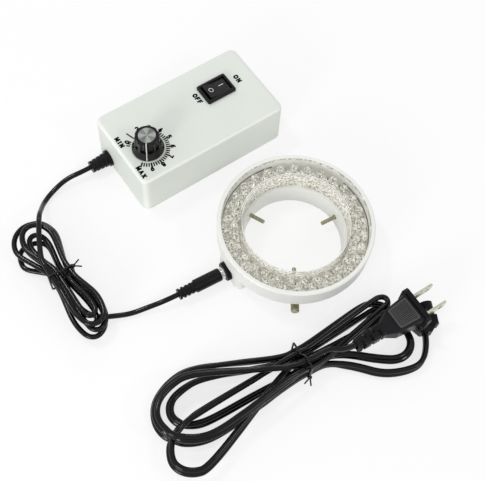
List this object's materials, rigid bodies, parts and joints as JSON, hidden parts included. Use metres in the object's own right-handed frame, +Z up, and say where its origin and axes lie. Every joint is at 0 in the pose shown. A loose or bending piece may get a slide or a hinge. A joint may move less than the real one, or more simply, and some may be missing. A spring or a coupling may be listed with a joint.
{
  "type": "microscope ring light",
  "caption": "Ring light for a stereo microscope with a dimmer and power box, a tied low-voltage lead and a tied mains lead.",
  "frame": {"origin": "centre of the ring's bore, at the collar face that lies on the table", "axes": "+Z up along the bore, out of the lamp side; -Y towards the front thumbscrew"},
  "size_m": [0.2575, 0.2727, 0.045],
  "materials": {
    "white_plastic": "moulded, fine matt",
    "box_plastic": "moulded, fine matt",
    "clear_plastic": "clear, polished",
    "lamp_plastic": "clear, moulded",
    "board": "painted board",
    "board_green": "lacquered board",
    "black_plastic": "moulded, satin",
    "black_gloss": "glossy",
    "cord_black": "smooth, soft",
    "brass": "plain",
    "screw_metal": "dull plated",
    "steel": "plated",
    "bright_metal": "bright plated",
    "spun_aluminium": "spun",
    "ferrite": "dull",
    "tape": "wrapped tape",
    "wire_red": "smooth",
    "capacitor_sleeve": "shrunk sleeve"
  },
  "bodies": {
    "box_and_leads": {"box_shell": "box_plastic", "box_base": "box_plastic", "case_screws": "steel", "circuit_board": "board_green", "board_screws": "steel", "transformer_core": "ferrite", "transformer_winding": "tape", "filter_capacitor": "capacitor_sleeve", "output_capacitors": "capacitor_sleeve", "power_transistor": "black_plastic", "input_fuse": "bright_metal", "dimmer_body": "steel", "dimmer_nut": "steel", "dimmer_washer": "steel", "switch_housing": "black_plastic", "switch_terminals": "brass", "inlet_housing": "black_plastic", "inlet_pins": "bright_metal", "box_wires": "wire_red", "dc_strain_relief": "black_plastic", "dc_cord_from_box": "cord_black", "dc_cord_hank": "cord_black", "dc_cord_to_plug": "cord_black", "dc_hank_tie": "black_gloss", "dc_plug_body": "black_plastic", "dc_plug_barrel": "bright_metal", "dc_plug_insulator": "black_plastic", "dc_plug_contact": "brass", "mains_plug_body": "black_plastic", "plug_blades": "bright_metal", "mains_cord_from_plug": "cord_black", "mains_cord_hank": "cord_black", "mains_cord_to_connector": "cord_black", "mains_hank_tie": "black_gloss", "connector_body": "black_plastic", "connector_contacts": "brass"},
    "ring_head": {"ring_housing": "white_plastic", "ring_cover": "clear_plastic", "led_board": "board", "led_inner_row": "lamp_plastic", "led_outer_row": "lamp_plastic", "led_resistors": "black_plastic", "dc_jack_body": "bright_metal", "dc_jack_pin": "bright_metal", "dc_jack_nut": "black_plastic", "ring_wires": "wire_red", "screw_inserts": "brass"},
    "dimmer_knob": {"knob": "black_plastic", "knob_cap": "spun_aluminium", "dimmer_shaft": "steel"},
    "power_rocker": {"rocker": "black_gloss"},
    "thumbscrew_front_body": {"thumbscrew_front": "screw_metal"},
    "thumbscrew_right_body": {"thumbscrew_right": "screw_metal"},
    "thumbscrew_left_body": {"thumbscrew_left": "screw_metal"}
  },
  "joints": [
    {"name": "thumbscrew_front_travel", "type": "slide", "parent": "ring_head", "child": "thumbscrew_front_body", "axis": [0, -1, 0], "range_m": [-0.003, 0.01]},
    {"name": "thumbscrew_right_travel", "type": "slide", "parent": "ring_head", "child": "thumbscrew_right_body", "axis": [0.866, 0.5, 0], "range_m": [-0.003, 0.01]},
    {"name": "thumbscrew_left_travel", "type": "slide", "parent": "ring_head", "child": "thumbscrew_left_body", "axis": [-0.866, 0.5, 0], "range_m": [-0.003, 0.01]},
    {"name": "ring_unplug", "type": "slide", "parent": "box_and_leads", "child": "ring_head", "axis": [0.866, 0.5, 0], "range_m": [-0.0006, 0.012]},
    {"name": "knob_turn", "type": "hinge", "parent": "box_and_leads", "child": "dimmer_knob", "pos_m": [-0.09028, 0.0468, 0.0315], "axis": [0, 0, 1], "range_deg": [-14, 266]},
    {"name": "rocker_tilt", "type": "hinge", "parent": "box_and_leads", "child": "power_rocker", "pos_m": [-0.04943, 0.09251, 0.029], "axis": [0.575, -0.8181, 0], "range_deg": [0, 16]}
  ]
}
